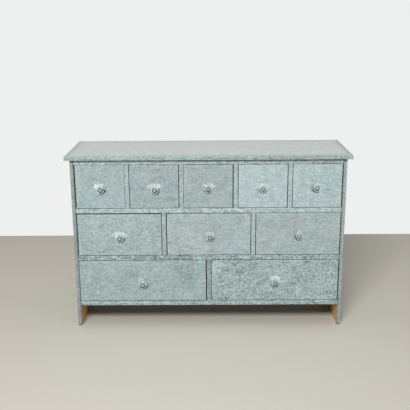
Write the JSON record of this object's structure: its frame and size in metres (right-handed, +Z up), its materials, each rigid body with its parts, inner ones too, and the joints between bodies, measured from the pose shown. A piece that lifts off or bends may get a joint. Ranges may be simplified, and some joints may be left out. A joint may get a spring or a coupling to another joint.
{
  "type": "chest of drawers",
  "caption": "Wide, low chest of drawers in timber clad with folded zinc sheet: rows of sliding drawers with glass flower knobs, an overhanging top and plank-end feet.",
  "frame": {"origin": "on the floor under the middle of the whole chest, knobs included", "axes": "+Z up; the drawers face -Y and open along -Y; +X along the length, to the right of someone facing the drawers"},
  "size_m": [1.24, 0.395, 0.7923],
  "materials": {
    "zinc_sheet": "dull galvanised sheet, mottled and faintly brushed, rubbed bright on the folds",
    "pine": "raw orange-brown pine, unfinished",
    "plywood": "raw plywood",
    "knob_glass": "clear pressed glass",
    "knob_metal": "dull silver plate",
    "steel_fasteners": "zinc-plated steel"
  },
  "bodies": {
    "case": {"top_board": "pine", "top_cladding": "zinc_sheet", "top_rails": "pine", "left_side": "pine", "right_side": "pine", "left_side_cladding": "zinc_sheet", "right_side_cladding": "zinc_sheet", "upper_shelf": "pine", "lower_shelf": "pine", "bottom_shelf": "pine", "back_panel": "plywood", "top_row_dividers": "pine", "middle_row_dividers": "pine", "bottom_row_divider": "pine", "rail_claddings": "zinc_sheet", "divider_claddings": "zinc_sheet", "case_screws": "steel_fasteners", "back_panel_nails": "steel_fasteners", "cladding_nails": "steel_fasteners"},
    "top_drawer_1": {"top_drawer_1_box": "pine", "top_drawer_1_cladding": "zinc_sheet", "top_drawer_1_knob": "knob_glass", "top_drawer_1_knob_bolt": "knob_metal"},
    "top_drawer_2": {"top_drawer_2_box": "pine", "top_drawer_2_cladding": "zinc_sheet", "top_drawer_2_knob": "knob_glass", "top_drawer_2_knob_bolt": "knob_metal"},
    "top_drawer_3": {"top_drawer_3_box": "pine", "top_drawer_3_cladding": "zinc_sheet", "top_drawer_3_knob": "knob_glass", "top_drawer_3_knob_bolt": "knob_metal"},
    "top_drawer_4": {"top_drawer_4_box": "pine", "top_drawer_4_cladding": "zinc_sheet", "top_drawer_4_knob": "knob_glass", "top_drawer_4_knob_bolt": "knob_metal"},
    "top_drawer_5": {"top_drawer_5_box": "pine", "top_drawer_5_cladding": "zinc_sheet", "top_drawer_5_knob": "knob_glass", "top_drawer_5_knob_bolt": "knob_metal"},
    "middle_drawer_1": {"middle_drawer_1_box": "pine", "middle_drawer_1_cladding": "zinc_sheet", "middle_drawer_1_knob": "knob_glass", "middle_drawer_1_knob_bolt": "knob_metal"},
    "middle_drawer_2": {"middle_drawer_2_box": "pine", "middle_drawer_2_cladding": "zinc_sheet", "middle_drawer_2_knob": "knob_glass", "middle_drawer_2_knob_bolt": "knob_metal"},
    "middle_drawer_3": {"middle_drawer_3_box": "pine", "middle_drawer_3_cladding": "zinc_sheet", "middle_drawer_3_knob": "knob_glass", "middle_drawer_3_knob_bolt": "knob_metal"},
    "bottom_drawer_1": {"bottom_drawer_1_box": "pine", "bottom_drawer_1_cladding": "zinc_sheet", "bottom_drawer_1_knob": "knob_glass", "bottom_drawer_1_knob_bolt": "knob_metal"},
    "bottom_drawer_2": {"bottom_drawer_2_box": "pine", "bottom_drawer_2_cladding": "zinc_sheet", "bottom_drawer_2_knob": "knob_glass", "bottom_drawer_2_knob_bolt": "knob_metal"}
  },
  "joints": [
    {"name": "top_drawer_1_slide", "type": "slide", "parent": "case", "child": "top_drawer_1", "axis": [0, -1, 0], "range_m": [0, 0.26]},
    {"name": "top_drawer_2_slide", "type": "slide", "parent": "case", "child": "top_drawer_2", "axis": [0, -1, 0], "range_m": [0, 0.26]},
    {"name": "top_drawer_3_slide", "type": "slide", "parent": "case", "child": "top_drawer_3", "axis": [0, -1, 0], "range_m": [0, 0.26]},
    {"name": "top_drawer_4_slide", "type": "slide", "parent": "case", "child": "top_drawer_4", "axis": [0, -1, 0], "range_m": [0, 0.26]},
    {"name": "top_drawer_5_slide", "type": "slide", "parent": "case", "child": "top_drawer_5", "axis": [0, -1, 0], "range_m": [0, 0.26]},
    {"name": "middle_drawer_1_slide", "type": "slide", "parent": "case", "child": "middle_drawer_1", "axis": [0, -1, 0], "range_m": [0, 0.26]},
    {"name": "middle_drawer_2_slide", "type": "slide", "parent": "case", "child": "middle_drawer_2", "axis": [0, -1, 0], "range_m": [0, 0.26]},
    {"name": "middle_drawer_3_slide", "type": "slide", "parent": "case", "child": "middle_drawer_3", "axis": [0, -1, 0], "range_m": [0, 0.26]},
    {"name": "bottom_drawer_1_slide", "type": "slide", "parent": "case", "child": "bottom_drawer_1", "axis": [0, -1, 0], "range_m": [0, 0.26]},
    {"name": "bottom_drawer_2_slide", "type": "slide", "parent": "case", "child": "bottom_drawer_2", "axis": [0, -1, 0], "range_m": [0, 0.26]}
  ]
}
